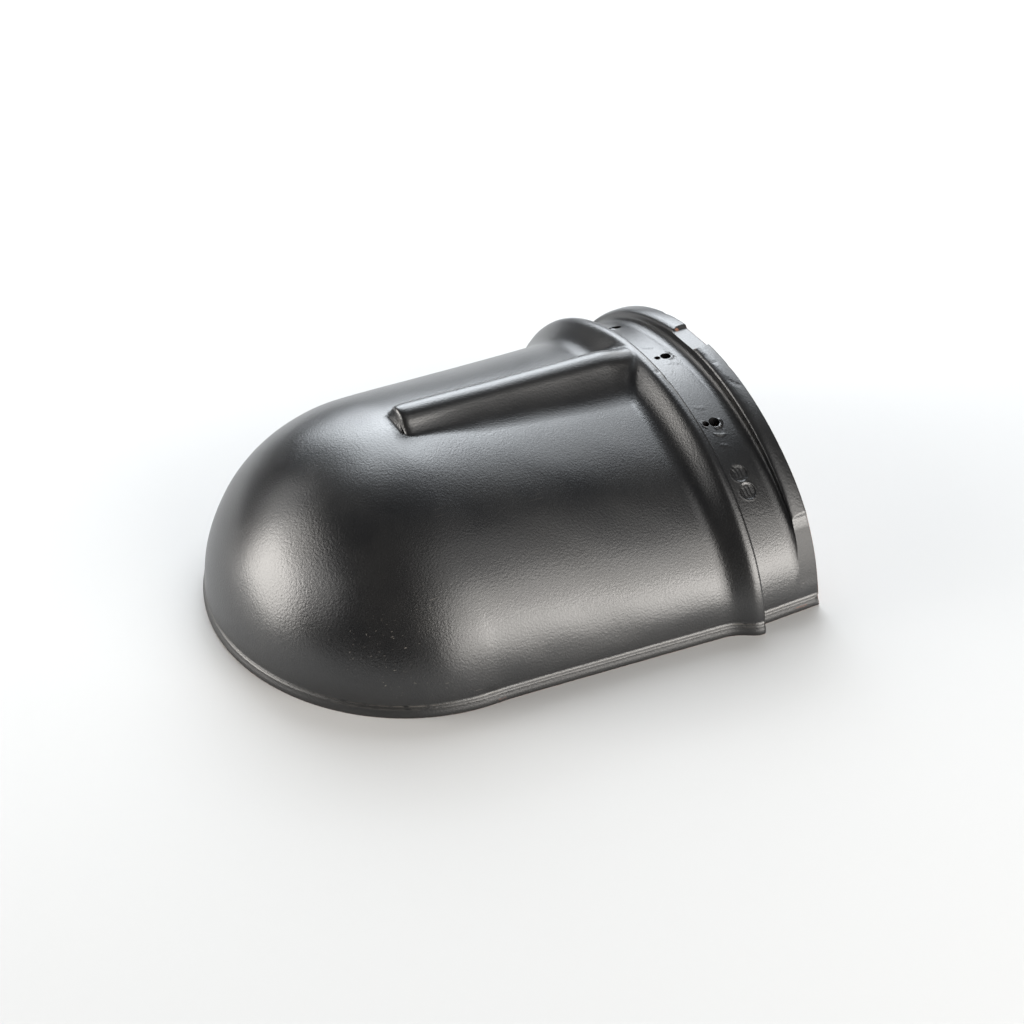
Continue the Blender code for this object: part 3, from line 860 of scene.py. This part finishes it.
skin = 1.0 - inner
foot_skin = skin * (z > 0.3)
round_to = np.degrees(np.abs(np.arctan2(y / NECK_WIDTH, z / NECK_HEIGHT)))
near_lip = smooth((y + 92.0) / 14.0) * smooth((-30.0 - y) / 12.0) * (z > 50.0)
worn = np.maximum.reduce([
    foot_skin * hump((z - SEAM_LEVEL) / 0.4) * (0.5 + 0.2 * np.sin(x / 5.0 + y / 7.0)),
    foot_skin * hump((z - LINE_LEVEL) / 0.4) * 0.2,
    near_lip * hump((x - 180.0) / 0.3) * 0.25,
])
# Painted shade: a darker colour in the foot's groove and on the low band under it, along the collar's
# and the lip's rear edges, and on the lip's end facets. The material also makes these places rougher.
painted_shade = np.maximum.reduce([
    foot_skin * hump((z - GROOVE_LEVEL) / 0.5),
    foot_skin * smooth((LINE_LEVEL - z) / 1.5) * 0.7,
    skin * (z > 9.0) * hump((x - 151.9) / 0.7),
    skin * (z > 8.0) * hump((x - 189.8) / 0.45) * 0.8,
    (x > 179.0) * smooth((round_to - 61.5) / 1.5) * smooth((84.0 - round_to) / 6.0) * 0.8,
])
for mask_name, mask in [("bare", bare), ("worn", worn), ("painted_shade", painted_shade)]:
    layer = tile_mesh.attributes.new(mask_name, "FLOAT", "POINT")
    layer.data.foreach_set("value", np.clip(mask, 0.0, 1.0).astype(np.float32))
print("share of points with bare clay:", round(float((bare > 0.5).mean()), 3))

# %% [markdown]
# ## A small kit for the skin
# A material is a tree of nodes joined by links. A few helpers let sockets be added and
# multiplied like numbers, so that each look below is one line of arithmetic.


# %% Shader kit
class Wire:
    """A socket in a node tree that adds, scales and compares like a number."""

    def __init__(self, tree, socket):
        self.tree = tree
        self.socket = socket

    def maths(self, operation, other):
        """Result of one operation between this socket and a number or another socket."""
        return node(self.tree, "ShaderNodeMath", {"operation": operation}, {0: self, 1: other})

    def __add__(self, other):
        return self.maths("ADD", other)

    __radd__ = __add__

    def __mul__(self, other):
        return self.maths("MULTIPLY", other)

    __rmul__ = __mul__

    def __sub__(self, other):
        return self.maths("SUBTRACT", other)

    def __rsub__(self, other):
        return node(self.tree, "ShaderNodeMath", {"operation": "SUBTRACT"}, {0: other, 1: self})

    def step(self, low, high):
        """0 below low, 1 above high, eased between."""
        return node(self.tree, "ShaderNodeMapRange", {"interpolation_type": "SMOOTHSTEP"},
                    {"Value": self, "From Min": low, "From Max": high})


def node(tree, kind, settings=None, values=None, output=0):
    """Any node: its settings first, then values or wires for its sockets."""
    made = tree.nodes.new(kind)
    for name, value in (settings or {}).items():
        setattr(made, name, value)
    for key, value in (values or {}).items():
        if value is None:
            continue
        if isinstance(value, Wire):
            tree.links.new(value.socket, made.inputs[key])
        else:
            made.inputs[key].default_value = value
    return Wire(tree, made.outputs[output])


# %% [markdown]
# ## The skin
# Close up, the black skin is pebbled like orange peel with bumps a millimetre or two wide,
# coarser on the dome, and it carries pale dust specks and a few hair scratches. The colour is
# a warm black; the bare clay under it is a dull red brown. The pebbles are noise in the
# Bump node, and the masks from the mesh choose the places of clay, wear and painted shade.

# %% Black clay
BLACK_DEEP, BLACK_PALE = (0.0065, 0.0066, 0.0072, 1.0), (0.0108, 0.0106, 0.0106, 1.0)
# The first colour on the next line is a darker black, painted shade for grooves, rear edges, the lip's
# end facets and one pit.
PAINTED_SHADE_BLACK, SOOT = (0.0025, 0.0025, 0.0025, 1.0), (0.03, 0.024, 0.021, 1.0)
DUST, RUBBED_SKIN = (0.21, 0.19, 0.165, 1.0), (0.24, 0.22, 0.19, 1.0)
RED_DEEP, RED_PALE = (0.16, 0.058, 0.032, 1.0), (0.26, 0.115, 0.07, 1.0)

clay = bpy.data.materials.new("satin_black_clay")
clay.use_nodes = True
tree = clay.node_tree
shader = tree.nodes["Principled BSDF"]
place = node(tree, "ShaderNodeTexCoord", output=3)


def noise(scale, detail, roughness=0.55, at=None):
    """Noise over the object's own coordinates, or over others."""
    values = {"Vector": at or place, "Scale": scale, "Detail": detail, "Roughness": roughness}
    return node(tree, "ShaderNodeTexNoise", {}, values)


def mask_of(name):
    """One of the masks kept on the mesh's points."""
    return node(tree, "ShaderNodeAttribute", {"attribute_name": name}, output=2)


def mix_colour(factor, low, high):
    """Colour between two others by a factor."""
    return node(tree, "ShaderNodeMix", {"data_type": "RGBA"}, {0: factor, 6: low, 7: high}, output=2)


def ball(point, radius):
    """1 inside a ball round a point in millimetres from the dome's centre, fading outwards."""
    centre = tuple((np.array(point) + TO_FRAME) * MM)
    gap = node(tree, "ShaderNodeVectorMath", {"operation": "DISTANCE"}, {0: place, 1: centre}, output=1)
    return 1 - gap.step(0.4 * radius * MM, radius * MM)


pebble = noise(900.0, 1.0, 0.5)
fine = noise(1500.0, 2.0, 0.6)
broad = noise(190.0, 2.0, 0.5)
pocks = noise(620.0, 0.0, 0.5).step(0.3, 0.62)
cloud = noise(24.0, 4.0, 0.6)
dust = noise(900.0, 3.0, 0.7).step(0.63, 0.77) * noise(45.0, 2.0).step(0.5, 0.72)
scratch_way = node(tree, "ShaderNodeMapping", {}, {
    "Vector": place, "Rotation": (0.3, 0.2, 0.9), "Scale": (30.0, 900.0, 900.0)})
scratch = noise(1.0, 1.0, 0.5, scratch_way).step(0.70, 0.74) * noise(36.0, 1.0).step(0.52, 0.66)
dome_pocks = ball((-66.0, -48.0, 62.0), 46.0)
low_dome = ball((-52.0, -104.0, 20.0), 62.0)
# Painted shade: a dark dot where the tile has a small pit that is not modelled in the mesh.
pit_shade_dot = ball((117.6, -108.2, 50.2), 0.9)

bare_mask = (mask_of("bare") + (noise(420.0, 3.0) - 0.5) * 0.5).step(0.34, 0.62)
worn_mask = mask_of("worn") * noise(260.0, 2.0).step(0.3, 0.6)
painted_shade_mask = mask_of("painted_shade")

black = mix_colour(cloud.step(0.35, 0.7), BLACK_DEEP, BLACK_PALE)
# Painted shade: the darker black goes where the shade mask and the pit's dot say.
black = mix_colour(painted_shade_mask * 0.75 + pit_shade_dot, black, PAINTED_SHADE_BLACK)
specks = dust * (0.12 + low_dome * 0.6) + scratch * (0.04 + low_dome * 0.45)
black = mix_colour(specks, black, DUST)
black = mix_colour(worn_mask * 0.5, black, RUBBED_SKIN)
red = mix_colour(noise(120.0, 4.0, 0.7).step(0.3, 0.7), RED_DEEP, RED_PALE)
soot = noise(30.0, 3.0).step(0.52, 0.75)
red = mix_colour(soot * 0.45, red, SOOT)
colour = mix_colour(bare_mask, black, red)
tree.links.new(colour.socket, shader.inputs["Base Color"])

rough = 0.27 + cloud * 0.08 + specks * 0.3 + painted_shade_mask * 0.25 + worn_mask * 0.2
rough = rough * (1 - bare_mask) + bare_mask * 0.85
tree.links.new(rough.socket, shader.inputs["Roughness"])
shader.inputs["Specular IOR Level"].default_value = 0.74
relief = pebble * 1.5 + fine * 0.2 + broad * 0.3 + pocks * dome_pocks * 0.3
relief = relief + bare_mask * fine * 0.8
bump = node(tree, "ShaderNodeBump", {}, {"Height": relief, "Strength": 0.4, "Distance": 0.00016})
tree.links.new(bump.socket, shader.inputs["Normal"])
tile_mesh.materials.clear()
tile_mesh.materials.append(clay)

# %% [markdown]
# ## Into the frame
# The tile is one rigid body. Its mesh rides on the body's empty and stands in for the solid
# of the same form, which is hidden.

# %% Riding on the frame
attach(tile, "root")
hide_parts("ridge_end_cap_tile")
